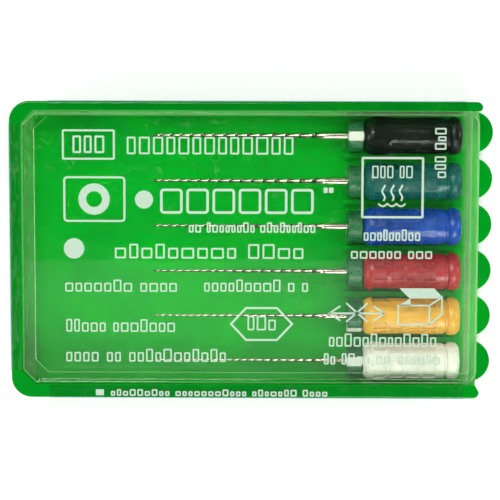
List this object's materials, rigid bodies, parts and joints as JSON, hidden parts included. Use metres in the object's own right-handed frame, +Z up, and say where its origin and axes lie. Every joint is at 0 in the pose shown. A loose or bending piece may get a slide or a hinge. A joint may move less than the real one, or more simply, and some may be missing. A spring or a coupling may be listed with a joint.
{
  "type": "endodontic file set",
  "caption": "Flat set of Hedstrom root-canal hand files with colour-coded handles and rubber stops in a green tray with a sealed clear sliding cover.",
  "frame": {"origin": "middle of the set's base, on the surface it lies on", "axes": "+X from the file tips to the handles and out of the tray's open end, +Z up, away from the tray's floor"},
  "size_m": [0.0478, 0.0292, 0.0061],
  "materials": {
    "tray_green": "moulded, glossy",
    "clear_plastic": "clear moulded polystyrene, glossy",
    "seal_film": "clear adhesive film, glossy",
    "steel": "ground stainless steel",
    "silicone": "translucent silicone, satin",
    "mark_white": "white silicone, satin",
    "handle_black": "moulded, satin",
    "handle_green": "moulded, satin",
    "handle_blue": "moulded, satin",
    "handle_red": "moulded, satin",
    "handle_yellow": "moulded, satin",
    "handle_white": "moulded, satin"
  },
  "bodies": {
    "tray": {"tray": "tray_green", "seal_flap_rear": "seal_film", "seal_flap_front": "seal_film", "seal_flap_left": "seal_film"},
    "cover": {"cover": "clear_plastic", "label_film": "seal_film"},
    "black_file": {"black_file_shaft": "steel", "black_file_handle": "handle_black"},
    "black_stop": {"black_file_stop": "silicone", "black_file_stop_mark": "mark_white"},
    "green_file": {"green_file_shaft": "steel", "green_file_handle": "handle_green"},
    "green_stop": {"green_file_stop": "silicone", "green_file_stop_mark": "mark_white"},
    "blue_file": {"blue_file_shaft": "steel", "blue_file_handle": "handle_blue"},
    "blue_stop": {"blue_file_stop": "silicone", "blue_file_stop_mark": "mark_white"},
    "red_file": {"red_file_shaft": "steel", "red_file_handle": "handle_red"},
    "red_stop": {"red_file_stop": "silicone", "red_file_stop_mark": "mark_white"},
    "yellow_file": {"yellow_file_shaft": "steel", "yellow_file_handle": "handle_yellow"},
    "yellow_stop": {"yellow_file_stop": "silicone", "yellow_file_stop_mark": "mark_white"},
    "white_file": {"white_file_shaft": "steel", "white_file_handle": "handle_white"},
    "white_stop": {"white_file_stop": "silicone", "white_file_stop_mark": "mark_white"}
  },
  "joints": [
    {"name": "cover_slide", "type": "slide", "parent": "tray", "child": "cover", "axis": [1, 0, 0], "range_m": [0, 0.044]},
    {"name": "black_file_spin", "type": "hinge", "parent": "tray", "child": "black_file", "pos_m": [0, 0.0112, 0.003], "axis": [1, 0, 0], "continuous": true},
    {"name": "black_stop_slide", "type": "slide", "parent": "black_file", "child": "black_stop", "axis": [-1, 0, 0], "range_m": [0, 0.016]},
    {"name": "green_file_spin", "type": "hinge", "parent": "tray", "child": "green_file", "pos_m": [0, 0.00672, 0.003], "axis": [1, 0, 0], "continuous": true},
    {"name": "green_stop_slide", "type": "slide", "parent": "green_file", "child": "green_stop", "axis": [-1, 0, 0], "range_m": [0, 0.016]},
    {"name": "blue_file_spin", "type": "hinge", "parent": "tray", "child": "blue_file", "pos_m": [0, 0.00224, 0.003], "axis": [1, 0, 0], "continuous": true},
    {"name": "blue_stop_slide", "type": "slide", "parent": "blue_file", "child": "blue_stop", "axis": [-1, 0, 0], "range_m": [0, 0.016]},
    {"name": "red_file_spin", "type": "hinge", "parent": "tray", "child": "red_file", "pos_m": [0, -0.00224, 0.003], "axis": [1, 0, 0], "continuous": true},
    {"name": "red_stop_slide", "type": "slide", "parent": "red_file", "child": "red_stop", "axis": [-1, 0, 0], "range_m": [0, 0.016]},
    {"name": "yellow_file_spin", "type": "hinge", "parent": "tray", "child": "yellow_file", "pos_m": [0, -0.00672, 0.003], "axis": [1, 0, 0], "continuous": true},
    {"name": "yellow_stop_slide", "type": "slide", "parent": "yellow_file", "child": "yellow_stop", "axis": [-1, 0, 0], "range_m": [0, 0.016]},
    {"name": "white_file_spin", "type": "hinge", "parent": "tray", "child": "white_file", "pos_m": [0, -0.0112, 0.003], "axis": [1, 0, 0], "continuous": true},
    {"name": "white_stop_slide", "type": "slide", "parent": "white_file", "child": "white_stop", "axis": [-1, 0, 0], "range_m": [0, 0.016]}
  ]
}
